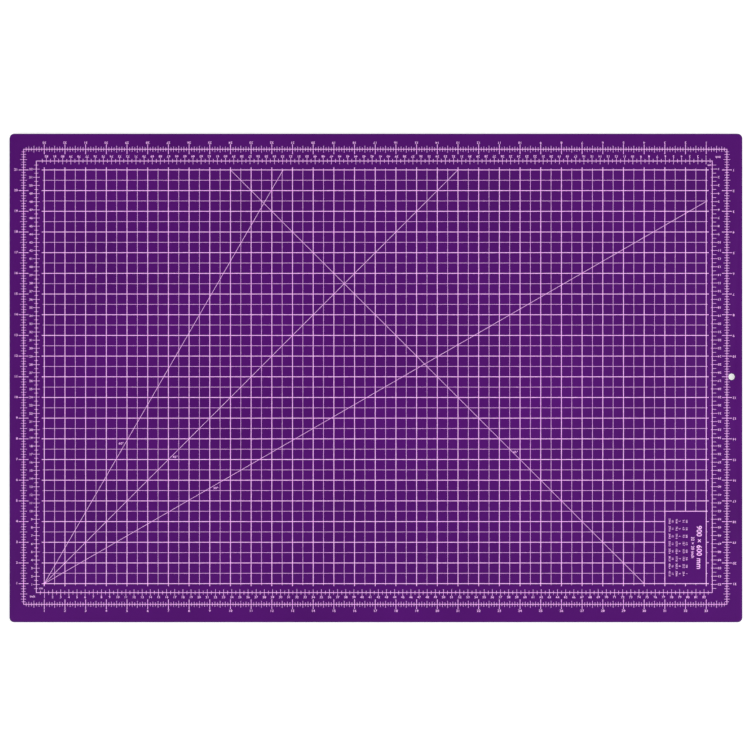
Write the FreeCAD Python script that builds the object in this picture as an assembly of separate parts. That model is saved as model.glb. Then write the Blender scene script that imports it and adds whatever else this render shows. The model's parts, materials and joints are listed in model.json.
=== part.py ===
"""Self-healing cutting mat: five bonded plies with rulers, a grid and angle lines printed on the top face."""
import FreeCAD, Part
import math
import os

# Outline of the mat
MAT_LENGTH = 900.0
MAT_WIDTH = 600.0
CORNER_RADIUS = 6.0

# Plies of the laminate, from the underside up
BOTTOM_SKIN_THICKNESS = 0.5
LOWER_SOFT_PLY_THICKNESS = 0.7
STIFF_CORE_THICKNESS = 0.6
UPPER_SOFT_PLY_THICKNESS = 0.7
TOP_SKIN_THICKNESS = 0.5

# The cutting die rounds the outer rim of both skins and punches the hang hole
RIM_RADIUS = 0.35
RIM_LIMIT_SHARE = 0.8
HANG_HOLE_DIAMETER = 8.0
HANG_HOLE_FROM_EDGE = 13.0

# Screen-printed ink, a little off the middle of the mat
INK_THICKNESS = 0.02
FRAME_LINE_WIDTH = 0.7
HEAVY_LINE_WIDTH = 0.85
FINE_LINE_WIDTH = 0.45
PRINT_SHIFT_ALONG = -0.8
PRINT_SHIFT_ACROSS = 1.5

# Inch scale: a frame of as many whole inches as leave the border free
INCH = 25.4
LEAST_BORDER = 18.0
WHOLE_INCH_TICK_WIDTH = 0.7
WHOLE_INCH_TICK_REACH = 6.0
HALF_INCH_TICK_REACH = 4.2
QUARTER_INCH_TICK_REACH = 3.2

# Centimetre scale: a frame of as many whole centimetres as fit inside the inch frame
CENTIMETRE = 10.0
CENTIMETRE_INSET_ALONG = 15.6
CENTIMETRE_INSET_ACROSS = 14.35
CENTIMETRE_TICK_REACH = 4.1

# Grid: it starts one inch inside the inch frame and leaves out the label panel at the lower right,
# which takes so many of its half-inch columns and rows
GRID_OVERHANG = 3.1
LABEL_COLUMNS = 4
LABEL_ROWS = 7

# Angle lines, with their angles in degrees: three rise from the grid's lower left corner and one falls to
# its lower edge, so many half-inch columns from the right
ANGLE_LINE_WIDTH = 0.5
RISING_ANGLES = (30, 45, 60)
FALLING_ANGLE = 135
FALLING_FOOT_COLUMNS = 6

# Plies by node name, from the underside up
PLIES = {
    "bottom_skin": BOTTOM_SKIN_THICKNESS,
    "lower_soft_ply": LOWER_SOFT_PLY_THICKNESS,
    "stiff_core": STIFF_CORE_THICKNESS,
    "upper_soft_ply": UPPER_SOFT_PLY_THICKNESS,
    "top_skin": TOP_SKIN_THICKNESS,
}
MAT_THICKNESS = sum(PLIES.values())

# Print places, measured from the lower left corner of the inch frame
INCHES_ALONG = int((MAT_LENGTH - 2 * LEAST_BORDER) // INCH)
INCHES_ACROSS = int((MAT_WIDTH - 2 * LEAST_BORDER) // INCH)
INCH_FRAME_LENGTH = INCHES_ALONG * INCH
INCH_FRAME_WIDTH = INCHES_ACROSS * INCH
CENTIMETRES_ALONG = int((INCH_FRAME_LENGTH - 2 * CENTIMETRE_INSET_ALONG) // CENTIMETRE)
CENTIMETRES_ACROSS = int((INCH_FRAME_WIDTH - 2 * CENTIMETRE_INSET_ACROSS) // CENTIMETRE)

# Grid limits as half-inch marks of the inch frame, and as lengths
HALF_INCH = INCH / 2
FIRST_MARK = round(INCH / HALF_INCH)
LAST_MARK_ALONG = 2 * INCHES_ALONG - FIRST_MARK
LAST_MARK_ACROSS = 2 * INCHES_ACROSS - FIRST_MARK
LABEL_MARK_ALONG = LAST_MARK_ALONG - LABEL_COLUMNS
LABEL_MARK_ACROSS = FIRST_MARK + LABEL_ROWS
GRID_LEFT = FIRST_MARK * HALF_INCH
GRID_BOTTOM = FIRST_MARK * HALF_INCH
GRID_RIGHT = LAST_MARK_ALONG * HALF_INCH
GRID_TOP = LAST_MARK_ACROSS * HALF_INCH
LABEL_LEFT = LABEL_MARK_ALONG * HALF_INCH
LABEL_TOP = LABEL_MARK_ACROSS * HALF_INCH
FALLING_FOOT = GRID_RIGHT - FALLING_FOOT_COLUMNS * HALF_INCH

UP = FreeCAD.Vector(0, 0, 1)
PRINT_CENTRE = FreeCAD.Vector(PRINT_SHIFT_ALONG, PRINT_SHIFT_ACROSS, MAT_THICKNESS)
PRINT_CORNER = PRINT_CENTRE - FreeCAD.Vector(INCH_FRAME_LENGTH / 2, INCH_FRAME_WIDTH / 2, 0)
HANG_HOLE = FreeCAD.Vector(MAT_LENGTH / 2 - HANG_HOLE_FROM_EDGE, PRINT_SHIFT_ACROSS, 0)


def hang_hole():
    """What the die punches out of the plies and of the print on them."""
    return Part.makeCylinder(HANG_HOLE_DIAMETER / 2, MAT_THICKNESS + INK_THICKNESS, HANG_HOLE, UP)


def ply(bottom, thickness):
    """One sheet of the laminate with its round corners and the hang hole."""
    corner = FreeCAD.Vector(-MAT_LENGTH / 2, -MAT_WIDTH / 2, bottom)
    sheet = Part.makeBox(MAT_LENGTH, MAT_WIDTH, thickness, corner)
    upright = [edge for edge in sheet.Edges if edge.Vertexes[0].Z != edge.Vertexes[1].Z]
    sheet = sheet.makeFillet(CORNER_RADIUS, upright)
    return sheet.cut(hang_hole())


def with_round_rim(skin, thickness, faces_up):
    """A skin with the outer edge of its open face rounded."""
    side = 1 if faces_up else -1
    open_face = max(skin.Faces, key=lambda face: side * face.CenterOfMass.z)
    radius = min(RIM_RADIUS, RIM_LIMIT_SHARE * thickness)
    return skin.makeFillet(radius, open_face.OuterWire.Edges)


def laminate():
    """The plies, each lying on the one below."""
    sheets = {}
    bottom = 0
    for name, thickness in PLIES.items():
        sheets[name] = ply(bottom, thickness)
        bottom += thickness
    sheets["bottom_skin"] = with_round_rim(sheets["bottom_skin"], BOTTOM_SKIN_THICKNESS, False)
    sheets["top_skin"] = with_round_rim(sheets["top_skin"], TOP_SKIN_THICKNESS, True)
    return sheets


def at(along, across):
    """A point of the printed face."""
    return PRINT_CORNER + FreeCAD.Vector(along, across, 0)


def line(start, end, width):
    """A straight film of ink between two points of the printed face."""
    run = end - start
    film = Part.makeBox(run.Length, width, INK_THICKNESS, FreeCAD.Vector(0, -width / 2, 0))
    film.Placement = FreeCAD.Placement(start, FreeCAD.Rotation(FreeCAD.Vector(1, 0, 0), run))
    return film


def frame(left, bottom, right, top):
    """A closed rectangle of four lines that meet edge to edge at the corners."""
    half = FRAME_LINE_WIDTH / 2
    return [
        line(at(left - half, bottom), at(right + half, bottom), FRAME_LINE_WIDTH),
        line(at(left - half, top), at(right + half, top), FRAME_LINE_WIDTH),
        line(at(left, bottom + half), at(left, top - half), FRAME_LINE_WIDTH),
        line(at(right, bottom + half), at(right, top - half), FRAME_LINE_WIDTH),
    ]


def ruler_ticks(zero_along, zero_across, step, steps_along, steps_across, pattern):
    """Tick marks across the lower and left rulers, and the same turned half round for the other two.

    The pattern holds the reach and width of each tick of one unit, and starts with the unit's own tick."""
    ticks = []
    for mark in range(1, steps_along):
        reach, width = pattern[mark % len(pattern)]
        along = zero_along + mark * step
        ticks.append(line(at(along, zero_across - reach), at(along, zero_across + reach), width))
    for mark in range(1, steps_across):
        reach, width = pattern[mark % len(pattern)]
        across = zero_across + mark * step
        ticks.append(line(at(zero_along - reach, across), at(zero_along + reach, across), width))
    turned = [tick.rotated(PRINT_CENTRE, UP, 180) for tick in ticks]
    return ticks + turned


def punched(films):
    """The films that are left after the hang hole is punched through the print."""
    hole = hang_hole()
    left = []
    for film in films:
        left += film.cut(hole).Solids if film.BoundBox.intersect(hole.BoundBox) else [film]
    return left


def inch_scale():
    """Outer frame with a tick at each quarter inch, of which the hang hole takes a bite at the right."""
    pattern = (
        (WHOLE_INCH_TICK_REACH, WHOLE_INCH_TICK_WIDTH),
        (QUARTER_INCH_TICK_REACH, FINE_LINE_WIDTH),
        (HALF_INCH_TICK_REACH, FINE_LINE_WIDTH),
        (QUARTER_INCH_TICK_REACH, FINE_LINE_WIDTH),
    )
    quarters = len(pattern)
    ticks = ruler_ticks(0, 0, INCH / quarters, quarters * INCHES_ALONG, quarters * INCHES_ACROSS, pattern)
    return punched(frame(0, 0, INCH_FRAME_LENGTH, INCH_FRAME_WIDTH) + ticks)


def centimetre_scale():
    """Inner frame with a tick at each centimetre."""
    pattern = ((CENTIMETRE_TICK_REACH, FINE_LINE_WIDTH),)
    left = CENTIMETRE_INSET_ALONG
    bottom = CENTIMETRE_INSET_ACROSS
    right = left + CENTIMETRES_ALONG * CENTIMETRE
    top = bottom + CENTIMETRES_ACROSS * CENTIMETRE
    ticks = ruler_ticks(left, bottom, CENTIMETRE, CENTIMETRES_ALONG, CENTIMETRES_ACROSS, pattern)
    return frame(left, bottom, right, top) + ticks


def grid(first, overhang, width):
    """Every second half-inch line of the grid both ways, from the first one, broken at the label panel.

    Lines with an overhang cross the grid's border, also beside the panel."""
    lines = []
    for mark in range(first, LAST_MARK_ALONG + 1, 2):
        along = mark * HALF_INCH
        beside_panel = LABEL_MARK_ALONG < mark < LAST_MARK_ALONG
        foot = LABEL_TOP if beside_panel else GRID_BOTTOM - overhang
        lines.append(line(at(along, foot), at(along, GRID_TOP + overhang), width))
        if beside_panel and overhang:
            lines.append(line(at(along, GRID_BOTTOM - overhang), at(along, GRID_BOTTOM), width))
    for mark in range(first, LAST_MARK_ACROSS + 1, 2):
        across = mark * HALF_INCH
        beside_panel = FIRST_MARK < mark < LABEL_MARK_ACROSS
        end = LABEL_LEFT if beside_panel else GRID_RIGHT + overhang
        lines.append(line(at(GRID_LEFT - overhang, across), at(end, across), width))
        if beside_panel and overhang:
            lines.append(line(at(GRID_RIGHT, across), at(GRID_RIGHT + overhang, across), width))
    return lines


def inch_grid():
    """Heavy lines at whole inches, and the panel's upper edge."""
    panel_edge = line(at(LABEL_LEFT, LABEL_TOP), at(GRID_RIGHT, LABEL_TOP), HEAVY_LINE_WIDTH)
    return grid(FIRST_MARK, GRID_OVERHANG, HEAVY_LINE_WIDTH) + [panel_edge]


def half_inch_grid():
    """Fine lines half way between the whole inches."""
    return grid(FIRST_MARK + 1, 0, FINE_LINE_WIDTH)


def angle_line(foot_along, degrees):
    """A line from the grid's lower edge at an angle to it, as far as the grid goes."""
    angle = math.radians(degrees)
    rise = GRID_TOP - GRID_BOTTOM
    room = GRID_RIGHT - foot_along if math.cos(angle) > 0 else foot_along - GRID_LEFT
    length = min(rise / math.sin(angle), room / abs(math.cos(angle)))
    end = at(foot_along + length * math.cos(angle), GRID_BOTTOM + length * math.sin(angle))
    return line(at(foot_along, GRID_BOTTOM), end, ANGLE_LINE_WIDTH)


def angle_lines():
    """Bias lines across the grid."""
    rising = [angle_line(GRID_LEFT, degrees) for degrees in RISING_ANGLES]
    return rising + [angle_line(FALLING_FOOT, FALLING_ANGLE)]


def main():
    pieces = laminate()
    pieces["inch_grid_print"] = Part.makeCompound(inch_grid())
    pieces["half_inch_grid_print"] = Part.makeCompound(half_inch_grid())
    pieces["inch_scale_print"] = Part.makeCompound(inch_scale())
    pieces["centimetre_scale_print"] = Part.makeCompound(centimetre_scale())
    pieces["angle_lines_print"] = Part.makeCompound(angle_lines())
    os.makedirs("parts", exist_ok=True)
    for name, shape in pieces.items():
        shape.exportStep(f"parts/{name}.step")


main()
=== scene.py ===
"""Looks of a self-healing cutting mat: five plies with die-cut edges, and its rulers, grid and numbers."""
import json
import math
from fractions import Fraction

import bmesh
import bpy
from mathutils import Matrix, Vector


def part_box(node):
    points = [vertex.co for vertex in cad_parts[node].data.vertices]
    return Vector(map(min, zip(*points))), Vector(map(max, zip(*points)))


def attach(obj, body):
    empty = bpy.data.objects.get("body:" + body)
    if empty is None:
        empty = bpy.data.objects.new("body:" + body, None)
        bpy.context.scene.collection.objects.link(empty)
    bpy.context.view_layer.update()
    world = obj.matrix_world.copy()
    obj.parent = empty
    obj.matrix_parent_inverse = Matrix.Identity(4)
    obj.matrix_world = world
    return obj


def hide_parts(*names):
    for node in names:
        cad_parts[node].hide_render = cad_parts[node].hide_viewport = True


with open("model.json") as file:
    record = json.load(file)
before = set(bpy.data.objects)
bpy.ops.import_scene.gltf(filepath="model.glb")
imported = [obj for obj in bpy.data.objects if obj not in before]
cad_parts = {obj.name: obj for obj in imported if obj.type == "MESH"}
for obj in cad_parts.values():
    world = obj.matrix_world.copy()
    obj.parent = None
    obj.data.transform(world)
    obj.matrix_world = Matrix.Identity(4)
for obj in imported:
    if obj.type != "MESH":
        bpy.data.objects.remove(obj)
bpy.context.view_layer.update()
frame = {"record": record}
scene = bpy.context.scene
scene.view_settings.view_transform = "Standard"

# Lengths are in metres
MM = 0.001
INCH = 0.0254
HALF_INCH = INCH / 2
CENTIMETRE = 0.01

# Edge of the laminate: corners, rim of the skins, and how far the plies stand back from each other. The edge
# of a soft ply swells between two seams, each of which takes the same share of its height
CORNER_RADIUS = 0.006
RIM_RADIUS = 0.00035
SEAM_ROUND = 0.00006
SEAM_SHARE = 0.15
SOFT_PLY_SETBACK = 0.00003
CORE_SETBACK = 0.00009
CORNER_STEPS = 14
HOLE_STEPS = 56
RIM_STEPS = 5
SEAM_STEPS = 2
SHARP_EDGE_DEGREES = 35

# Printed lines: their widths, and how far ticks reach to each side of a ruler's axis
FRAME_LINE_WIDTH = 0.0007
HEAVY_LINE_WIDTH = 0.00085
FINE_LINE_WIDTH = 0.00045
ANGLE_LINE_WIDTH = 0.0005
WHOLE_INCH_TICK_WIDTH = 0.0007
WHOLE_INCH_TICK_REACH = 0.006
HALF_INCH_TICK_REACH = 0.0042
QUARTER_INCH_TICK_REACH = 0.0032
EIGHTH_INCH_TICK_REACH = 0.0024
CENTIMETRE_TICK_REACH = 0.0041
HALF_CENTIMETRE_TICK_REACH = 0.0024

# Grid: the inches between it and the inch rulers, how far its lines run past its border, and the half inches
# that the label panel takes from its lower right corner
GRID_INSET = 1
GRID_OVERHANG = 0.0031
FINE_GRID_OVERHANG = 0.0019
LABEL_COLUMNS = 4
LABEL_ROWS = 7

# Angle lines: three rise from a dot on the grid's lower left corner, and one falls to a foot that lies so
# many inches from the right inch ruler
RISING_LINE_DEGREES = (30, 45, 60)
FALLING_LINE_DEGREES = 135
FALLING_LINE_FOOT = 4
ORIGIN_DOT_DIAMETER = 0.0024
DOT_STEPS = 20

# Ink films: where two cross, one lies lower by a step. Points of a film that all but touch are merged
FILM_STEP = 0.000003
MERGE_DISTANCE = 0.0000005

# The plain font, in shares of its size: a digit's height, how much bolder a stroke is drawn on each side, and
# how near to each other two points of an outline count as one. Its curves get one more step for so much size
DIGIT_HEIGHT_SHARE = 0.69
BOLDNESS_SHARE = 0.016
NEAR_POINT_SHARE = 0.004
SIZE_PER_CURVE_STEP = 0.003

# Numbers: height of the digits, the gap from a ruler's axis to their near end or side, and how far those
# beside the inch rulers stand above their ticks. Numbers by lines are drawn wider than the font has them
INCH_DIGIT_HEIGHT = 0.0027
INCH_NUMBER_GAP_BELOW = 0.0066
INCH_NUMBER_GAP_BESIDE = 0.0071
INCH_NUMBER_RISE_BESIDE = 0.00055
CENTIMETRE_DIGIT_HEIGHT = 0.00255
CENTIMETRE_NUMBER_GAP_BELOW = 0.00425
CENTIMETRE_NUMBER_GAP_BESIDE = 0.0044
WIDE_DIGIT_SHARE = 1.17

# Small marks: their heights, and each text with its middle, in inches from the inch rulers' lower left corner
ANGLE_DIGIT_HEIGHT = 0.0027
UNIT_LETTER_HEIGHT = 0.0027
ANGLE_MARKS = (("30°", 9.29, 5.62), ("45°", 7.33, 7.13), ("60°", 4.72, 7.78), ("45°", 23.78, 7.36))
UNIT_MARKS = (("inch", 0.43, 0.385), ("cm", 0.84, 0.785))

# Label panel: heights of its digits, how far its rows lie from the grid's right border, and its table's
# columns, last entry and pitches
TITLE_DIGIT_HEIGHT = 0.0062
SUBTITLE_DIGIT_HEIGHT = 0.0036
TABLE_DIGIT_HEIGHT = 0.0021
TITLE_INSET = 0.0085
SUBTITLE_INSET = 0.0165
TABLE_INSET = 0.024
TABLE_COLUMNS = 8
TABLE_LAST_INCH = 17
COLUMN_PITCH = 0.0092
ROW_PITCH = 0.0037
PAIR_PITCH = 0.0086

# Refractive index of plasticised PVC
PVC_IOR = 1.53

# Places that the frame gives
mat_low, mat_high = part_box("stiff_core")
printed_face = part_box("top_skin")[1].z
ink_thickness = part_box("inch_grid_print")[1].z - printed_face
grid_low, grid_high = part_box("half_inch_grid_print")
grid_columns = round((grid_high.x - grid_low.x) / HALF_INCH)
grid_rows = round((grid_high.y - grid_low.y) / HALF_INCH)
print_centre = (grid_low + grid_high) / 2
inch_low = Vector((grid_low.x - GRID_INSET * INCH, grid_low.y - GRID_INSET * INCH, printed_face))
inches_along = grid_columns // 2 + 2 * GRID_INSET
inches_across = grid_rows // 2 + 2 * GRID_INSET
outer_ticks = Vector((CENTIMETRE_TICK_REACH, CENTIMETRE_TICK_REACH, 0))
centimetre_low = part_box("centimetre_scale_print")[0] + outer_ticks
centimetre_inset = centimetre_low - inch_low
centimetres_along = math.floor((inches_along * INCH - 2 * centimetre_inset.x) / CENTIMETRE)
centimetres_across = math.floor((inches_across * INCH - 2 * centimetre_inset.y) / CENTIMETRE)
hang_hole = next(mount for mount in frame["record"]["mounts"] if mount["name"] == "hang_hole")
hole_centre = Vector(hang_hole["pos_m"])
hole_radius = hang_hole["dims"]["r_mm"] * MM
hole_inch = round((print_centre.y + inches_across * INCH / 2 - hole_centre.y) / INCH)

HALF_TURN = (
    Matrix.Translation((print_centre.x, print_centre.y, 0))
    @ Matrix.Rotation(math.pi, 4, "Z")
    @ Matrix.Translation((-print_centre.x, -print_centre.y, 0))
)
QUARTER_TURN = Matrix.Rotation(math.pi / 2, 4, "Z")


def linear(hex_colour):
    """An sRGB hex colour as linear red, green, blue and alpha."""
    shares = [int(hex_colour[i:i + 2], 16) / 255 for i in (1, 3, 5)]
    return (*[c / 12.92 if c <= 0.04045 else ((c + 0.055) / 1.055) ** 2.4 for c in shares], 1)


def add_node(tree, kind, inputs=None, **settings):
    """Add a node with its settings.

    An input is given as a value, a node for its first output, an output, or a list of these."""
    node = tree.nodes.new(kind)
    for name, value in settings.items():
        setattr(node, name, value)
    for socket, given in (inputs or {}).items():
        for value in given if isinstance(given, list) else [given]:
            if isinstance(value, bpy.types.Node):
                value = value.outputs[0]
            if isinstance(value, bpy.types.NodeSocket):
                tree.links.new(value, node.inputs[socket])
            else:
                node.inputs[socket].default_value = value
    return node


def emptied_tree(owner):
    """The node tree of a material or world, with nothing in it."""
    owner.use_nodes = True
    owner.node_tree.nodes.clear()
    return owner.node_tree


# Materials

def new_material(name):
    """A material with a Principled shader; gives it, its tree, the shader and the object's coordinates."""
    material = bpy.data.materials.new(name)
    tree = emptied_tree(material)
    shader = add_node(tree, "ShaderNodeBsdfPrincipled")
    add_node(tree, "ShaderNodeOutputMaterial", {"Surface": shader})
    return material, tree, shader, add_node(tree, "ShaderNodeTexCoord").outputs["Object"]


def calendered_pvc():
    """Soft PVC sheet, rolled on a grained cylinder: deep purple, matte, with fine grain and faint clouds."""
    cloud_size = 140 * MM
    # The real grain is about 0.2 mm, drawn coarser so that it shows
    grain_size = 1.3 * MM
    grain_depth = 0.012 * MM
    material, tree, shader, place = new_material("calendered_soft_pvc")
    clouds = add_node(tree, "ShaderNodeTexNoise", {"Vector": place, "Scale": 1 / cloud_size, "Detail": 3})
    grain = add_node(tree, "ShaderNodeTexNoise", {"Vector": place, "Scale": 1 / grain_size, "Detail": 2})
    tone = add_node(tree, "ShaderNodeValToRGB", {"Fac": clouds})
    tone.color_ramp.elements[0].position = 0.3
    tone.color_ramp.elements[0].color = linear("#490663")
    tone.color_ramp.elements[1].position = 0.7
    tone.color_ramp.elements[1].color = linear("#50086C")
    fleck = add_node(tree, "ShaderNodeMapRange", {"Value": grain, "From Min": 0.3, "From Max": 0.7,
                                                  "To Min": 0.5, "To Max": 0.6})
    relief = add_node(tree, "ShaderNodeBump", {"Height": grain, "Strength": 0.6, "Distance": grain_depth})
    tree.links.new(tone.outputs["Color"], shader.inputs["Base Color"])
    tree.links.new(fleck.outputs["Result"], shader.inputs["Roughness"])
    tree.links.new(relief.outputs["Normal"], shader.inputs["Normal"])
    shader.inputs["IOR"].default_value = PVC_IOR
    shader.inputs["Specular IOR Level"].default_value = 0.12
    return material


def die_cut_pvc(name, dark, light, roughness):
    """Cut edge of an inner ply: duller than the skins, with fine upright drag marks from the die."""
    drag_width = 0.35 * MM
    drag_depth = 0.02 * MM
    width_to_height = 0.1
    material, tree, shader, place = new_material(name)
    tall = add_node(tree, "ShaderNodeMapping", {"Vector": place, "Scale": (1, 1, width_to_height)})
    drag = add_node(tree, "ShaderNodeTexNoise", {"Vector": tall, "Scale": 1 / drag_width, "Detail": 2})
    tone = add_node(tree, "ShaderNodeValToRGB", {"Fac": drag})
    tone.color_ramp.elements[0].color = linear(dark)
    tone.color_ramp.elements[1].color = linear(light)
    relief = add_node(tree, "ShaderNodeBump", {"Height": drag, "Strength": 0.5, "Distance": drag_depth})
    tree.links.new(tone.outputs["Color"], shader.inputs["Base Color"])
    tree.links.new(relief.outputs["Normal"], shader.inputs["Normal"])
    shader.inputs["Roughness"].default_value = roughness
    shader.inputs["IOR"].default_value = PVC_IOR
    shader.inputs["Specular IOR Level"].default_value = 0.2
    return material


def screen_ink():
    """Screen-printed vinyl ink: pale lilac, satin, a little thinner and duller in places."""
    mottle_size = 5 * MM
    material, tree, shader, place = new_material("screen_printed_vinyl_ink")
    mottle = add_node(tree, "ShaderNodeTexNoise", {"Vector": place, "Scale": 1 / mottle_size, "Detail": 2})
    tone = add_node(tree, "ShaderNodeValToRGB", {"Fac": mottle})
    tone.color_ramp.elements[0].position = 0.3
    tone.color_ramp.elements[0].color = linear("#FAB2FB")
    tone.color_ramp.elements[1].position = 0.6
    tone.color_ramp.elements[1].color = linear("#FCC0FE")
    satin = add_node(tree, "ShaderNodeMapRange", {"Value": mottle, "To Min": 0.5, "To Max": 0.38})
    tree.links.new(tone.outputs["Color"], shader.inputs["Base Color"])
    tree.links.new(satin.outputs["Result"], shader.inputs["Roughness"])
    shader.inputs["IOR"].default_value = 1.5
    return material


PVC = calendered_pvc()
SOFT_EDGE = die_cut_pvc("die_cut_soft_pvc", "#2C0A3C", "#45125A", 0.62)
CORE_EDGE = die_cut_pvc("die_cut_stiff_sheet", "#1D0A27", "#2E1239", 0.5)
INK = screen_ink()


# Pieces

def add_piece(name, mesh, slot, *nodes):
    """A finished piece of the mat, which stands for the nodes named."""
    piece = bpy.data.objects.new(name, mesh)
    scene.collection.objects.link(piece)
    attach(piece, "root")
    if nodes:
        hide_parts(*nodes)


def joined(name, meshes):
    """One mesh of ink from several."""
    whole = bmesh.new()
    for mesh in meshes:
        whole.from_mesh(mesh)
    mesh = bpy.data.meshes.new(name)
    whole.to_mesh(mesh)
    whole.free()
    mesh.materials.append(INK)
    return mesh


# Laminate

def outline(inset):
    """The mat's outline with its round corners, drawn in by an inset."""
    points = []
    radius = CORNER_RADIUS - inset
    corners = (
        (mat_high.x, mat_high.y), (mat_low.x, mat_high.y), (mat_low.x, mat_low.y), (mat_high.x, mat_low.y))
    for quarter, (x, y) in enumerate(corners):
        centre_x = x - math.copysign(CORNER_RADIUS, x)
        centre_y = y - math.copysign(CORNER_RADIUS, y)
        for step in range(CORNER_STEPS + 1):
            angle = (quarter + step / CORNER_STEPS) * math.pi / 2
            points.append((centre_x + radius * math.cos(angle), centre_y + radius * math.sin(angle)))
    return points


def hole_rim(inset):
    """The hang hole's rim, widened by an inset."""
    radius = hole_radius + inset
    turns = [2 * math.pi * step / HOLE_STEPS for step in range(HOLE_STEPS)]
    return [(hole_centre.x + radius * math.cos(turn), hole_centre.y + radius * math.sin(turn))
            for turn in turns]


def sheet(name, node, rings, material, slot):
    """One ply as a closed sheet, whose cut edges follow rings of height and inset from the bottom up."""
    ply = bmesh.new()
    walls = ([], [])
    for height, inset in rings:
        for wall, path in zip(walls, (outline(inset), hole_rim(inset))):
            wall.append([ply.verts.new((x, y, height)) for x, y in path])
    for wall in walls:
        for lower, upper in zip(wall, wall[1:]):
            for i in range(len(lower)):
                ply.faces.new((lower[i - 1], lower[i], upper[i], upper[i - 1]))
    for end in (0, -1):
        rims = [wall[end] for wall in walls]
        edges = [ply.edges.get((rim[i - 1], rim[i])) for rim in rims for i in range(len(rim))]
        bmesh.ops.triangle_fill(ply, edges=edges, use_beauty=True)
    bmesh.ops.recalc_face_normals(ply, faces=ply.faces)
    mesh = bpy.data.meshes.new(name)
    ply.to_mesh(mesh)
    ply.free()
    mesh.materials.append(material)
    mesh.shade_smooth()
    mesh.set_sharp_from_angle(angle=math.radians(SHARP_EDGE_DEGREES))
    add_piece(name, mesh, slot, node)


def rounded(height, direction, radius, steps):
    """Rings of a round edge that ends at a height, going up (1) or down (-1) to it."""
    rings = []
    for step in range(steps + 1):
        angle = math.pi / 2 * step / steps
        rings.append((height - direction * radius * (1 - math.sin(angle)), radius * (1 - math.cos(angle))))
    return rings if direction > 0 else rings[::-1]


def bulged(low, high, setback):
    """Rings of a soft edge that swells a little between its two seams."""
    seam = setback + SEAM_ROUND
    shares = ((0, seam), (SEAM_SHARE, setback), (0.5, 0), (1 - SEAM_SHARE, setback), (1, seam))
    return [(low + share * (high - low), inset) for share, inset in shares]


def laminate():
    """The five plies; each takes its height from its solid."""
    heights = {name: (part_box(name)[0].z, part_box(name)[1].z) for name in
               ("bottom_skin", "lower_soft_ply", "stiff_core", "upper_soft_ply", "top_skin")}
    low, high = heights["bottom_skin"]
    rings = rounded(low, -1, RIM_RADIUS, RIM_STEPS) + rounded(high, 1, SEAM_ROUND, SEAM_STEPS)
    sheet("underside_skin", "bottom_skin", rings, PVC, "skin")
    low, high = heights["top_skin"]
    rings = rounded(low, -1, SEAM_ROUND, SEAM_STEPS) + rounded(high, 1, RIM_RADIUS, RIM_STEPS)
    sheet("printed_skin", "top_skin", rings, PVC, "skin")
    for name, node in (("lower_cushion_ply", "lower_soft_ply"), ("upper_cushion_ply", "upper_soft_ply")):
        sheet(name, node, bulged(*heights[node], SOFT_PLY_SETBACK), SOFT_EDGE, "soft_ply")
    low, high = heights["stiff_core"]
    sheet("core_sheet", "stiff_core", [(low, CORE_SETBACK), (high, CORE_SETBACK)], CORE_EDGE, "core")


# Ink by rule: nets of lines, rows of ticks, rows of numbers

WHOLE = "NodeSocketInt"
LENGTH = "NodeSocketFloat"
PLACE = "NodeSocketVector"
SHAPE = "NodeSocketGeometry"
TEXT = "NodeSocketString"


def new_tree(name, inputs, output=SHAPE):
    """A node tree with named inputs; gives the tree and its inputs' outputs by name."""
    tree = bpy.data.node_groups.new(name, "GeometryNodeTree")
    for label, kind in inputs.items():
        tree.interface.new_socket(label, in_out="INPUT", socket_type=kind)
    tree.interface.new_socket("Result", in_out="OUTPUT", socket_type=output)
    return tree, add_node(tree, "NodeGroupInput").outputs


def inked(tree, flat, thickness):
    """End a tree: flat shapes become closed films of ink, as real mesh with their material."""
    raised = add_node(tree, "GeometryNodeExtrudeMesh", {"Mesh": flat, "Offset Scale": thickness,
                                                        "Individual": False})
    under = add_node(tree, "GeometryNodeFlipFaces", {"Mesh": flat})
    both = add_node(tree, "GeometryNodeJoinGeometry", {"Geometry": [raised, under]})
    closed = add_node(tree, "GeometryNodeMergeByDistance", {"Geometry": both, "Distance": MERGE_DISTANCE})
    real = add_node(tree, "GeometryNodeRealizeInstances", {"Geometry": closed})
    film = add_node(tree, "GeometryNodeSetMaterial", {"Geometry": real, "Material": INK})
    add_node(tree, "NodeGroupOutput", {"Result": film})
    return tree


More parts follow.
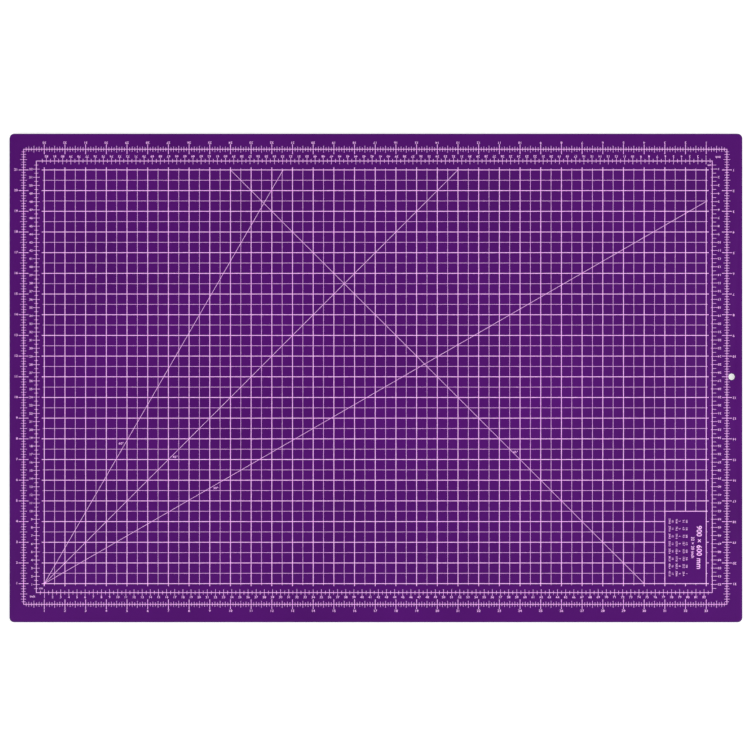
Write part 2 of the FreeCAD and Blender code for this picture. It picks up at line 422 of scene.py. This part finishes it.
def lettered(tree, glyphs, size, thickness):
    """End a tree of letters: their outlines are drawn bolder and filled with ink."""
    curves = add_node(tree, "GeometryNodeRealizeInstances", {"Geometry": glyphs})
    share = add_node(tree, "ShaderNodeMath", {0: size, 1: SIZE_PER_CURVE_STEP}, operation="DIVIDE")
    steps = add_node(tree, "ShaderNodeMath", {0: share}, operation="CEIL")
    coarse = add_node(tree, "GeometryNodeSetSplineResolution", {"Geometry": curves, "Resolution": steps})
    drawn = add_node(tree, "GeometryNodeResampleCurve", {"Curve": coarse}, mode="EVALUATED")
    # Of two points that all but touch, one goes, or the bolder outline would cross itself there
    here = add_node(tree, "GeometryNodeInputPosition")
    last = add_node(tree, "GeometryNodeOffsetPointInCurve", {"Offset": -1}).outputs["Point Index"]
    there = add_node(tree, "GeometryNodeFieldAtIndex", {"Value": here, "Index": last},
                     data_type="FLOAT_VECTOR")
    gap = add_node(tree, "ShaderNodeVectorMath", {0: here, 1: there}, operation="DISTANCE").outputs["Value"]
    least = add_node(tree, "ShaderNodeMath", {0: size, 1: NEAR_POINT_SHARE}, operation="MULTIPLY")
    is_near = add_node(tree, "ShaderNodeMath", {0: gap, 1: least}, operation="LESS_THAN")
    spaced = add_node(tree, "GeometryNodeDeleteGeometry", {"Geometry": drawn, "Selection": is_near},
                      domain="POINT")
    level = add_node(tree, "GeometryNodeSetCurveNormal", {"Curve": spaced}, mode="Z_UP")
    boldness = add_node(tree, "ShaderNodeMath", {0: size, 1: BOLDNESS_SHARE}, operation="MULTIPLY")
    normal = add_node(tree, "GeometryNodeInputNormal")
    outwards = add_node(tree, "ShaderNodeVectorMath", {0: normal, "Scale": boldness}, operation="SCALE")
    bold = add_node(tree, "GeometryNodeSetPosition", {"Geometry": level, "Offset": outwards})
    flat = add_node(tree, "GeometryNodeFillCurve", {"Curve": bold}, mode="NGONS")
    return inked(tree, flat, thickness)


def grown(tree, place, sizes):
    """The mesh that a tree gives for its named sizes, moved to its place."""
    host = bpy.data.objects.new(tree.name, bpy.data.meshes.new(tree.name))
    scene.collection.objects.link(host)
    modifier = host.modifiers.new(tree.name, "NODES")
    modifier.node_group = tree
    for item in tree.interface.items_tree:
        if item.in_out == "INPUT":
            modifier[item.identifier] = sizes[item.name]
    mesh = bpy.data.meshes.new_from_object(host.evaluated_get(bpy.context.evaluated_depsgraph_get()))
    host.modifiers.remove(modifier)
    bpy.data.objects.remove(host)
    mesh.transform(place)
    return mesh


def line_edge_tree():
    """Where an edge of a line lies along one axis.

    Edges count from 0, two to a line. Edge -1 and the edge past the last line end the overhang."""
    tree, given = new_tree("line_edge", {
        "Edge": LENGTH, "Last line": WHOLE, "Pitch": LENGTH, "Heavy width": LENGTH, "Fine width": LENGTH,
        "Overhang": LENGTH, "Made heavy": LENGTH}, LENGTH)
    half = add_node(tree, "ShaderNodeMath", {0: given["Edge"], 1: 0.5}, operation="MULTIPLY")
    count = add_node(tree, "ShaderNodeMath", {0: half}, operation="FLOOR")
    line = add_node(tree, "ShaderNodeClamp", {"Value": count, "Min": 0, "Max": given["Last line"]})
    # A line's own edges come out at -0.5 and 0.5, the ends of the overhang at -1.5 and 1.5
    twice = add_node(tree, "ShaderNodeMath", {0: line, 1: -2, 2: given["Edge"]}, operation="MULTIPLY_ADD")
    side = add_node(tree, "ShaderNodeMath", {0: twice, 1: 0.5}, operation="SUBTRACT")
    distance = add_node(tree, "ShaderNodeMath", {0: side}, operation="ABSOLUTE")
    is_end = add_node(tree, "ShaderNodeMath", {0: distance, 1: 1}, operation="GREATER_THAN")
    sign = add_node(tree, "ShaderNodeMath", {0: side}, operation="SIGN")
    odd = add_node(tree, "ShaderNodeMath", {0: line, 1: 2}, operation="MODULO")
    fine = add_node(tree, "ShaderNodeMath", {0: odd, 1: given["Made heavy"]},
                    operation="SUBTRACT", use_clamp=True)
    width = add_node(tree, "ShaderNodeMix", {"Factor": fine, "A": given["Heavy width"],
                                             "B": given["Fine width"]})
    from_axis = add_node(tree, "ShaderNodeMath", {0: side, 1: width}, operation="MULTIPLY")
    end = add_node(tree, "ShaderNodeMath", {0: sign, 1: given["Overhang"]}, operation="MULTIPLY")
    offset = add_node(tree, "ShaderNodeMix", {"Factor": is_end, "A": from_axis, "B": end})
    place = add_node(tree, "ShaderNodeMath", {0: line, 1: given["Pitch"], 2: offset},
                     operation="MULTIPLY_ADD")
    add_node(tree, "NodeGroupOutput", {"Result": place})
    return tree


def net_tree():
    """A net of crossing lines without overlaps, which leaves a panel free.

    Lines run past the border by their overhang, which whole ones may have longer. The net starts as a grid of
    unit cells, two edges to a line. Cells between the lines go, and the edges of the rest are moved to their
    real places."""
    tree, given = new_tree("printed_net", {
        "Columns": WHOLE, "Rows": WHOLE, "Column pitch": LENGTH, "Row pitch": LENGTH, "Heavy width": LENGTH,
        "Fine width": LENGTH, "Overhang": LENGTH, "Fine overhang": LENGTH, "Panel columns": WHOLE,
        "Panel rows": WHOLE, "Thickness": LENGTH})
    place = add_node(tree, "ShaderNodeSeparateXYZ", {0: add_node(tree, "GeometryNodeInputPosition")})
    sides = {}
    for axis, count in (("X", given["Columns"]), ("Y", given["Rows"])):
        cells = add_node(tree, "ShaderNodeMath", {0: count, 1: 2, 2: 3}, operation="MULTIPLY_ADD")
        points = add_node(tree, "ShaderNodeMath", {0: cells, 1: 1}, operation="ADD")
        centred = add_node(tree, "ShaderNodeMath", {0: place.outputs[axis], 1: count}, operation="ADD")
        edge = add_node(tree, "ShaderNodeMath", {0: centred, 1: 0.5}, operation="ADD")
        # A cell's middle lies half way between two edges; even cells are lines
        cell = add_node(tree, "ShaderNodeMath", {0: edge}, operation="FLOOR")
        end = add_node(tree, "ShaderNodeMath", {0: cells, 1: 2}, operation="SUBTRACT")
        after = add_node(tree, "ShaderNodeMath", {0: edge, 1: 0}, operation="GREATER_THAN")
        before = add_node(tree, "ShaderNodeMath", {0: edge, 1: end}, operation="LESS_THAN")
        inside = add_node(tree, "ShaderNodeMath", {0: after, 1: before}, operation="MULTIPLY")
        second = add_node(tree, "ShaderNodeMath", {0: cell, 1: 2}, operation="FLOORED_MODULO")
        is_line = add_node(tree, "ShaderNodeMath", {0: inside, 1: second}, operation="GREATER_THAN")
        # Of each four edges in a row, two belong to a whole line and two to a fine one
        past = add_node(tree, "ShaderNodeMath", {0: edge, 1: 0.5}, operation="ADD")
        turn = add_node(tree, "ShaderNodeMath", {0: past, 1: 4}, operation="FLOORED_MODULO")
        is_fine = add_node(tree, "ShaderNodeMath", {0: turn, 1: 2}, operation="GREATER_THAN")
        sides[axis] = {"cells": cells, "points": points, "edge": edge, "end": end,
                       "inside": inside, "line": is_line, "fine": is_fine}
    along, across = sides["X"], sides["Y"]
    overhangs = add_node(tree, "ShaderNodeMath", {0: given["Overhang"], 1: 0}, operation="GREATER_THAN")
    kept = []
    for own, other in ((along, across), (across, along)):
        reached = add_node(tree, "ShaderNodeMath", {0: other["inside"], 1: overhangs}, operation="MAXIMUM")
        kept.append(add_node(tree, "ShaderNodeMath", {0: own["line"], 1: reached}, operation="MULTIPLY"))
    on_line = add_node(tree, "ShaderNodeMath", {0: kept[0], 1: kept[1]}, operation="MAXIMUM")
    # The panel lies between the right border, the lower border and two inner lines
    panel_start = add_node(tree, "ShaderNodeMath", {0: given["Panel columns"], 1: -2, 2: along["end"]},
                           operation="MULTIPLY_ADD")
    right_border = add_node(tree, "ShaderNodeMath", {0: along["end"], 1: 1}, operation="SUBTRACT")
    panel_top = add_node(tree, "ShaderNodeMath", {0: given["Panel rows"], 1: 2}, operation="MULTIPLY")
    right_of = add_node(tree, "ShaderNodeMath", {0: along["edge"], 1: panel_start}, operation="GREATER_THAN")
    left_of = add_node(tree, "ShaderNodeMath", {0: along["edge"], 1: right_border}, operation="LESS_THAN")
    above = add_node(tree, "ShaderNodeMath", {0: across["edge"], 1: 1}, operation="GREATER_THAN")
    below = add_node(tree, "ShaderNodeMath", {0: across["edge"], 1: panel_top}, operation="LESS_THAN")
    between = add_node(tree, "ShaderNodeMath", {0: right_of, 1: left_of}, operation="MULTIPLY")
    level = add_node(tree, "ShaderNodeMath", {0: above, 1: below}, operation="MULTIPLY")
    in_panel = add_node(tree, "ShaderNodeMath", {0: between, 1: level}, operation="MULTIPLY")
    printed = add_node(tree, "ShaderNodeMath", {0: on_line, 1: in_panel}, operation="GREATER_THAN")
    bare = add_node(tree, "ShaderNodeMath", {0: 1, 1: printed}, operation="SUBTRACT")
    cells = add_node(tree, "GeometryNodeMeshGrid", {
        "Size X": along["cells"], "Size Y": across["cells"],
        "Vertices X": along["points"], "Vertices Y": across["points"]})
    lines = add_node(tree, "GeometryNodeDeleteGeometry", {"Geometry": cells, "Selection": bare},
                     domain="FACE")
    # The panel's upper edge is heavy, though it lies on a fine line
    from_panel_top = add_node(tree, "ShaderNodeMath", {0: across["edge"], 1: panel_top}, operation="SUBTRACT")
    off_panel_top = add_node(tree, "ShaderNodeMath", {0: from_panel_top, 1: 0.5}, operation="SUBTRACT")
    on_panel_top = add_node(tree, "ShaderNodeMath", {0: off_panel_top, 1: 0, 2: 1}, operation="COMPARE")
    reaches_panel = add_node(tree, "ShaderNodeMath", {0: panel_start, 1: 1}, operation="SUBTRACT")
    past_start = add_node(tree, "ShaderNodeMath", {0: along["edge"], 1: reaches_panel},
                          operation="GREATER_THAN")
    made_heavy = add_node(tree, "ShaderNodeMath", {0: on_panel_top, 1: past_start}, operation="MULTIPLY")
    edge_place = line_edge_tree()
    ends = []
    for own, other, count, pitch, heavy in ((along, across, "Columns", "Column pitch", 0),
                                            (across, along, "Rows", "Row pitch", made_heavy)):
        overhang = add_node(tree, "ShaderNodeMix", {"Factor": other["fine"], "A": given["Overhang"],
                                                    "B": given["Fine overhang"]})
        ends.append(add_node(tree, "GeometryNodeGroup", {
            "Edge": own["edge"], "Last line": given[count], "Pitch": given[pitch],
            "Heavy width": given["Heavy width"], "Fine width": given["Fine width"],
            "Overhang": overhang, "Made heavy": heavy}, node_tree=edge_place))
    spot = add_node(tree, "ShaderNodeCombineXYZ", {"X": ends[0], "Y": ends[1]})
    net = add_node(tree, "GeometryNodeSetPosition", {"Geometry": lines, "Position": spot})
    return inked(tree, net, given["Thickness"])


def tick_tree():
    """Ticks across one ruler that starts at the origin and runs along X, longer at halves and whole units."""
    tree, given = new_tree("ruler_ticks", {
        "Unit": LENGTH, "Parts": WHOLE, "Units": WHOLE, "Unit reach": LENGTH, "Half reach": LENGTH,
        "Quarter reach": LENGTH, "Least reach": LENGTH, "Unit width": LENGTH, "Width": LENGTH,
        "Thickness": LENGTH})
    step = add_node(tree, "ShaderNodeMath", {0: given["Unit"], 1: given["Parts"]}, operation="DIVIDE")
    count = add_node(tree, "ShaderNodeMath", {0: given["Parts"], 1: given["Units"], 2: -1},
                     operation="MULTIPLY_ADD")
    stride = add_node(tree, "ShaderNodeCombineXYZ", {"X": step})
    marks = add_node(tree, "GeometryNodeMeshLine", {"Count": count, "Start Location": stride,
                                                    "Offset": stride})
    index = add_node(tree, "GeometryNodeInputIndex")
    mark = add_node(tree, "ShaderNodeMath", {0: index, 1: 1}, operation="ADD")
    # A mark belongs to the coarsest share of a unit that leaves no rest there
    reach = given["Least reach"]
    for divisions, label in ((4, "Quarter reach"), (2, "Half reach"), (1, "Unit reach")):
        share = add_node(tree, "ShaderNodeMath", {0: given["Parts"], 1: divisions}, operation="DIVIDE")
        rest = add_node(tree, "ShaderNodeMath", {0: mark, 1: share}, operation="MODULO")
        falls_here = add_node(tree, "ShaderNodeMath", {0: rest, 1: 0.1}, operation="LESS_THAN")
        reach = add_node(tree, "ShaderNodeMix", {"Factor": falls_here, "A": reach, "B": given[label]})
    width = add_node(tree, "ShaderNodeMix", {"Factor": falls_here, "A": given["Width"],
                                             "B": given["Unit width"]})
    length = add_node(tree, "ShaderNodeMath", {0: reach, 1: 2}, operation="MULTIPLY")
    size = add_node(tree, "ShaderNodeCombineXYZ", {"X": width, "Y": length, "Z": 1})
    bar = add_node(tree, "GeometryNodeMeshGrid", {"Size X": 1, "Size Y": 1, "Vertices X": 2, "Vertices Y": 2})
    bars = add_node(tree, "GeometryNodeInstanceOnPoints", {"Points": marks, "Instance": bar, "Scale": size})
    flat = add_node(tree, "GeometryNodeRealizeInstances", {"Geometry": bars})
    return inked(tree, flat, given["Thickness"])


def number_tree(name, align):
    """Numbers from 1 up, one at each step, of which one may be left out."""
    tree, given = new_tree(name, {
        "Count": WHOLE, "Left out": WHOLE, "Step": PLACE, "First": PLACE, "Size": LENGTH, "Stretch": PLACE,
        "Thickness": LENGTH})
    start = add_node(tree, "GeometryNodeRepeatInput")
    end = add_node(tree, "GeometryNodeRepeatOutput")
    start.pair_with_output(end)
    tree.links.new(given["Count"], start.inputs["Iterations"])
    number = add_node(tree, "ShaderNodeMath", {0: start.outputs["Iteration"], 1: 1}, operation="ADD")
    text = add_node(tree, "FunctionNodeValueToString", {"Value": number, "Decimals": 0})
    glyphs = add_node(tree, "GeometryNodeStringToCurves", {"String": text, "Size": given["Size"]},
                      align_x=align, align_y="BOTTOM_BASELINE")
    steps = add_node(tree, "ShaderNodeVectorMath", {0: given["Step"], "Scale": start.outputs["Iteration"]},
                     operation="SCALE")
    spot = add_node(tree, "ShaderNodeVectorMath", {0: given["First"], 1: steps}, operation="ADD")
    moved = add_node(tree, "GeometryNodeTransform", {"Geometry": glyphs, "Scale": given["Stretch"],
                                                     "Translation": spot})
    away = add_node(tree, "ShaderNodeMath", {0: number, 1: given["Left out"]}, operation="SUBTRACT")
    gap = add_node(tree, "ShaderNodeMath", {0: away}, operation="ABSOLUTE")
    is_kept = add_node(tree, "ShaderNodeMath", {0: gap, 1: 0.5}, operation="GREATER_THAN")
    kept = add_node(tree, "GeometryNodeSwitch", {"Switch": is_kept, "True": moved}, input_type="GEOMETRY")
    so_far = add_node(tree, "GeometryNodeJoinGeometry", {"Geometry": [start.outputs["Geometry"], kept]})
    tree.links.new(so_far.outputs[0], end.inputs["Geometry"])
    return lettered(tree, end.outputs["Geometry"], given["Size"], given["Thickness"])


def lettering_tree():
    """Digits or a unit mark, centred along their foot line."""
    tree, given = new_tree("lettering", {"Text": TEXT, "Size": LENGTH, "Stretch": PLACE, "Thickness": LENGTH})
    glyphs = add_node(tree, "GeometryNodeStringToCurves", {"String": given["Text"], "Size": given["Size"]},
                      align_x="CENTER", align_y="BOTTOM_BASELINE")
    wide = add_node(tree, "GeometryNodeTransform", {"Geometry": glyphs, "Scale": given["Stretch"]})
    return lettered(tree, wide, given["Size"], given["Thickness"])


NET = net_tree()
TICKS = tick_tree()
NUMBERS_BELOW = number_tree("numbers_below", "CENTER")
NUMBERS_BESIDE = number_tree("numbers_beside", "RIGHT")
LETTERING = lettering_tree()


def printed_grid():
    """Whole and half inches as one net, clear of the label panel."""
    place = Matrix.Translation((grid_low.x, grid_low.y, printed_face))
    mesh = grown(NET, place, {
        "Columns": grid_columns, "Rows": grid_rows, "Column pitch": HALF_INCH, "Row pitch": HALF_INCH,
        "Heavy width": HEAVY_LINE_WIDTH, "Fine width": FINE_LINE_WIDTH, "Overhang": GRID_OVERHANG,
        "Fine overhang": FINE_GRID_OVERHANG, "Panel columns": LABEL_COLUMNS, "Panel rows": LABEL_ROWS,
        "Thickness": ink_thickness - 2 * FILM_STEP})
    add_piece("printed_grid", mesh, "ink", "inch_grid_print", "half_inch_grid_print")


def ruler_frame(low, length, width):
    """A closed rectangle of ink."""
    return grown(NET, Matrix.Translation(low), {
        "Columns": 1, "Rows": 1, "Column pitch": length, "Row pitch": width,
        "Heavy width": FRAME_LINE_WIDTH, "Fine width": FRAME_LINE_WIDTH, "Overhang": 0.0,
        "Fine overhang": 0.0, "Panel columns": 0, "Panel rows": 0, "Thickness": ink_thickness})


def ruler_ticks(low, units_along, units_across, sizes):
    """Ticks of the lower and left rulers, and the same turned half round for the upper and right ones."""
    place = Matrix.Translation(low)
    ticks = []
    for units, turn in ((units_along, Matrix.Identity(4)), (units_across, QUARTER_TURN)):
        row = dict(sizes, Units=units, Thickness=ink_thickness - FILM_STEP)
        ticks += [grown(TICKS, place @ turn, row), grown(TICKS, HALF_TURN @ place @ turn, row)]
    return ticks


def ruler_numbers(low, unit, units_along, units_across, digit_height, gap_below, gap_beside,
                  rise=0, left_out=0):
    """Numbers outside the four rulers; the upper and right rows are turned half round.

    Those beside a ruler may stand a rise above their ticks, and one on the right may be left out."""
    sizes = {"Size": digit_height / DIGIT_HEIGHT_SHARE, "Stretch": (WIDE_DIGIT_SHARE, 1, 1),
             "Thickness": ink_thickness}
    foot = unit + rise - digit_height / 2
    below = dict(sizes, Count=units_along - 1, Step=(unit, 0, 0), First=(unit, -gap_below - digit_height, 0))
    beside = dict(sizes, Count=units_across - 1, Step=(0, unit, 0), First=(-gap_beside, foot, 0))
    place = Matrix.Translation(low)
    return [
        grown(NUMBERS_BELOW, place, below | {"Left out": 0}),
        grown(NUMBERS_BELOW, HALF_TURN @ place, below | {"Left out": 0}),
        grown(NUMBERS_BESIDE, place, beside | {"Left out": 0}),
        grown(NUMBERS_BESIDE, HALF_TURN @ place, beside | {"Left out": left_out}),
    ]


def punch(mesh):
    """Draw the ink that reaches over the hang hole back to the hole's rim."""
    for vertex in mesh.vertices:
        across = vertex.co.y - hole_centre.y
        if Vector((vertex.co.x - hole_centre.x, across)).length < hole_radius:
            vertex.co.x = hole_centre.x - math.sqrt(hole_radius ** 2 - across ** 2)


def inch_rulers():
    """Outer frame with ticks down to eighths of an inch, and its numbers, of which the hole takes one."""
    sizes = {"Unit": INCH, "Parts": 8, "Unit reach": WHOLE_INCH_TICK_REACH,
             "Half reach": HALF_INCH_TICK_REACH, "Quarter reach": QUARTER_INCH_TICK_REACH,
             "Least reach": EIGHTH_INCH_TICK_REACH, "Unit width": WHOLE_INCH_TICK_WIDTH,
             "Width": FINE_LINE_WIDTH}
    border = ruler_frame(inch_low, inches_along * INCH, inches_across * INCH)
    scale = joined("inch_rulers", [border] + ruler_ticks(inch_low, inches_along, inches_across, sizes))
    punch(scale)
    add_piece("inch_rulers", scale, "ink", "inch_scale_print")
    numbers = ruler_numbers(inch_low, INCH, inches_along, inches_across, INCH_DIGIT_HEIGHT,
                            INCH_NUMBER_GAP_BELOW, INCH_NUMBER_GAP_BESIDE,
                            rise=INCH_NUMBER_RISE_BESIDE, left_out=hole_inch)
    add_piece("inch_numbers", joined("inch_numbers", numbers), "ink")


def centimetre_rulers():
    """Inner frame with ticks at centimetres and their halves, and its numbers."""
    sizes = {"Unit": CENTIMETRE, "Parts": 2, "Unit reach": CENTIMETRE_TICK_REACH,
             "Half reach": HALF_CENTIMETRE_TICK_REACH, "Quarter reach": HALF_CENTIMETRE_TICK_REACH,
             "Least reach": HALF_CENTIMETRE_TICK_REACH, "Unit width": FINE_LINE_WIDTH,
             "Width": FINE_LINE_WIDTH}
    border = ruler_frame(centimetre_low, centimetres_along * CENTIMETRE, centimetres_across * CENTIMETRE)
    ticks = ruler_ticks(centimetre_low, centimetres_along, centimetres_across, sizes)
    scale = joined("centimetre_rulers", [border] + ticks)
    add_piece("centimetre_rulers", scale, "ink", "centimetre_scale_print")
    numbers = ruler_numbers(centimetre_low, CENTIMETRE, centimetres_along, centimetres_across,
                            CENTIMETRE_DIGIT_HEIGHT, CENTIMETRE_NUMBER_GAP_BELOW,
                            CENTIMETRE_NUMBER_GAP_BESIDE)
    add_piece("centimetre_numbers", joined("centimetre_numbers", numbers), "ink")


# Ink placed one by one

def on_print(along, across):
    """A point of the printed face, in inches from the lower left corner of the inch rulers."""
    return inch_low + Vector((along * INCH, across * INCH, 0))


def lettering(text, height, centre, turn=0, stretch=1):
    """Digits or a unit mark in ink, about a centre."""
    place = Matrix.Translation(centre) @ Matrix.Rotation(math.radians(turn), 4, "Z")
    sizes = {"Text": text, "Size": height / DIGIT_HEIGHT_SHARE, "Stretch": (stretch, 1, 1),
             "Thickness": ink_thickness}
    return grown(LETTERING, place @ Matrix.Translation((0, -height / 2, 0)), sizes)


def film(points, thickness):
    """A flat film of ink with the outline given."""
    shape = bmesh.new()
    under = shape.faces.new([shape.verts.new(point) for point in points])
    raised = bmesh.ops.extrude_face_region(shape, geom=[under], use_keep_orig=True)
    tops = [item for item in raised["geom"] if isinstance(item, bmesh.types.BMVert)]
    bmesh.ops.translate(shape, verts=tops, vec=(0, 0, thickness))
    bmesh.ops.recalc_face_normals(shape, faces=shape.faces)
    mesh = bpy.data.meshes.new("film")
    shape.to_mesh(mesh)
    shape.free()
    return mesh


def angle_line(foot, degrees):
    """A line from a point of the grid's lower edge at an angle to it, as far as the grid goes."""
    angle = math.radians(degrees)
    run = Vector((math.cos(angle), math.sin(angle), 0))
    room = grid_high.x - foot.x if run.x > 0 else foot.x - grid_low.x
    end = foot + run * min((grid_high.y - grid_low.y) / run.y, room / abs(run.x))
    side = Vector((-run.y, run.x, 0)) * ANGLE_LINE_WIDTH / 2
    return film([foot - side, end - side, end + side, foot + side], ink_thickness - FILM_STEP)


def angle_lines():
    """Lines that rise from the grid's corner, one that falls to its lower edge, and the dot at the corner."""
    corner = on_print(GRID_INSET, GRID_INSET)
    lines = [angle_line(corner, degrees) for degrees in RISING_LINE_DEGREES]
    lines.append(angle_line(on_print(inches_along - FALLING_LINE_FOOT, GRID_INSET), FALLING_LINE_DEGREES))
    turns = [2 * math.pi * step / DOT_STEPS for step in range(DOT_STEPS)]
    ring = [corner + Vector((math.cos(turn), math.sin(turn), 0)) * ORIGIN_DOT_DIAMETER / 2 for turn in turns]
    lines.append(film(ring, ink_thickness))
    add_piece("angle_lines", joined("angle_lines", lines), "ink", "angle_lines_print")


def small_marks():
    """Degrees beside the angle lines, and the units in the corners where both rulers start."""
    marks = []
    for text, along, across in ANGLE_MARKS:
        marks.append(lettering(text, ANGLE_DIGIT_HEIGHT, on_print(along, across), stretch=WIDE_DIGIT_SHARE))
    for text, along, across in UNIT_MARKS:
        for place in (Matrix.Identity(4), HALF_TURN):
            mark = lettering(text, UNIT_LETTER_HEIGHT, on_print(along, across))
            mark.transform(place)
            marks.append(mark)
    add_piece("small_marks", joined("small_marks", marks), "ink")


def label_panel():
    """In the free panel, turned a quarter round: sizes of mat and grid, and inches with their millimetres.

    Rows read downwards, and follow each other from the right of the panel to the left. The table has pairs of
    rows: first parts of an inch up to a whole one, then whole inches from 2 on."""
    corner = on_print(inches_along - GRID_INSET, GRID_INSET + LABEL_ROWS / 2)
    middle = LABEL_ROWS * HALF_INCH / 2
    length = round((mat_high.x - mat_low.x) / MM)
    width = round((mat_high.y - mat_low.y) / MM)
    texts = [
        (f"{length} × {width} mm", TITLE_DIGIT_HEIGHT, TITLE_INSET, middle),
        (f"{grid_columns // 2} × {grid_rows // 2} inch", SUBTITLE_DIGIT_HEIGHT, SUBTITLE_INSET, middle),
    ]
    parts = [Fraction(count, TABLE_COLUMNS) for count in range(1, TABLE_COLUMNS + 1)]
    for entry, inches in enumerate([*parts, *range(2, TABLE_LAST_INCH + 1)]):
        pair, column = divmod(entry, TABLE_COLUMNS)
        across = TABLE_INSET + pair * PAIR_PITCH
        down = middle + (column - (TABLE_COLUMNS - 1) / 2) * COLUMN_PITCH
        millimetres = f"{float(inches) * INCH / MM:.1f}"
        texts.append((str(inches), TABLE_DIGIT_HEIGHT, across, down))
        texts.append((millimetres, TABLE_DIGIT_HEIGHT, across + ROW_PITCH, down))
    marks = [lettering(text, height, corner - Vector((across, down, 0)), turn=-90)
             for text, height, across, down in texts]
    add_piece("label_panel_numbers", joined("label_panel_numbers", marks), "ink")


laminate()
printed_grid()
inch_rulers()
centimetre_rulers()
angle_lines()
small_marks()
label_panel()


# Studio

FLOOR_HALF_SIDE = 12
FLOOR_GAP = 0.0001
SOFTBOX_SIZE = 2.4

# Where each softbox stands, and its power in watts
SOFTBOXES = {
    "right_softbox": ((3.1, -0.5, 1.6), 105),
    "left_softbox": ((-2.9, -1.1, 1.7), 82),
    "front_softbox": ((0.3, -3.0, 1.5), 42),
    "back_softbox": ((0.2, 3.0, 1.5), 65),
}


def sight(tree):
    """For a tree: whether the eye sees a place straight, and whether it sees it in gloss or glass."""
    ray = add_node(tree, "ShaderNodeLightPath").outputs
    mirrored = add_node(tree, "ShaderNodeMath", {0: ray["Is Glossy Ray"], 1: ray["Is Transmission Ray"]},
                        operation="MAXIMUM")
    return ray["Is Camera Ray"], mirrored.outputs[0]


def white_floor():
    """White paper under the mat, which takes its shadow near it and fades to plain white further off."""
    fade_start = 1.2
    fade_end = 3
    glow_near_mat = 0.62
    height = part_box("bottom_skin")[0].z - FLOOR_GAP
    mesh = bpy.data.meshes.new("floor")
    half = FLOOR_HALF_SIDE
    corners = [(-half, -half), (half, -half), (half, half), (-half, half)]
    mesh.from_pydata([(x, y, height) for x, y in corners], [], [(0, 1, 2, 3)])
    floor = bpy.data.objects.new("floor", mesh)
    scene.collection.objects.link(floor)
    material = bpy.data.materials.new("white_paper_sweep")
    tree = emptied_tree(material)
    straight, mirrored = sight(tree)
    shown = add_node(tree, "ShaderNodeMath", {0: straight, 1: mirrored}, operation="MAXIMUM")
    spot = add_node(tree, "ShaderNodeTexCoord").outputs["Object"]
    distance = add_node(tree, "ShaderNodeVectorMath", {0: spot}, operation="LENGTH").outputs["Value"]
    white = add_node(tree, "ShaderNodeMapRange", {
        "Value": distance, "From Min": fade_start, "From Max": fade_end,
        "To Min": glow_near_mat, "To Max": 1})
    lift = add_node(tree, "ShaderNodeMath", {0: shown, 1: white}, operation="MULTIPLY")
    glow = add_node(tree, "ShaderNodeEmission", {"Strength": lift})
    paper = add_node(tree, "ShaderNodeBsdfDiffuse", {"Color": linear("#C4C4C4")})
    both = add_node(tree, "ShaderNodeAddShader", {0: glow, 1: paper})
    add_node(tree, "ShaderNodeOutputMaterial", {"Surface": both})
    mesh.materials.append(material)


def studio_world():
    """A room that looks white to the eye, gives little light, and mirrors pale walls under a dark ceiling."""
    wall_top = 0.1
    ceiling_edge = 0.7
    wall_glow = 0.5
    ceiling_glow = 0.02
    room_light = 0.05
    world = bpy.data.worlds.new("studio")
    tree = emptied_tree(world)
    straight, mirrored = sight(tree)
    way = add_node(tree, "ShaderNodeSeparateXYZ", {0: add_node(tree, "ShaderNodeTexCoord")})
    walls = add_node(tree, "ShaderNodeMapRange", {
        "Value": way.outputs["Z"], "From Min": wall_top, "From Max": ceiling_edge,
        "To Min": wall_glow, "To Max": ceiling_glow})
    dim = add_node(tree, "ShaderNodeMix", {"Factor": mirrored, "A": room_light, "B": walls})
    strength = add_node(tree, "ShaderNodeMix", {"Factor": straight, "A": dim, "B": 1})
    sky = add_node(tree, "ShaderNodeBackground", {"Color": linear("#FFFFFF"), "Strength": strength})
    add_node(tree, "ShaderNodeOutputWorld", {"Surface": sky})
    scene.world = world


def softbox(name, place, power):
    """A large square area lamp that points at the middle of the mat."""
    lamp = bpy.data.lights.new(name, "AREA")
    lamp.size = SOFTBOX_SIZE
    lamp.energy = power
    box = bpy.data.objects.new(name, lamp)
    box.location = place
    box.rotation_euler = Vector(place).to_track_quat("Z", "Y").to_euler()
    scene.collection.objects.link(box)


def camera_above():
    """The eye straight above the mat, as far off as a copy stand's camera."""
    height = 2.2
    image_size = 750
    pixels_per_metre = 814.4
    mat_pixel = Vector((375.9, 378.0))
    data = bpy.data.cameras.new("camera")
    data.sensor_width = 36
    data.lens = data.sensor_width * height * pixels_per_metre / image_size
    camera = bpy.data.objects.new("camera", data)
    offset = (Vector((image_size / 2, image_size / 2)) - mat_pixel) / pixels_per_metre
    camera.location = (offset.x, -offset.y, printed_face + height)
    scene.collection.objects.link(camera)
    scene.camera = camera


white_floor()
studio_world()
for softbox_name, (stand, watts) in SOFTBOXES.items():
    softbox(softbox_name, stand, watts)
camera_above()
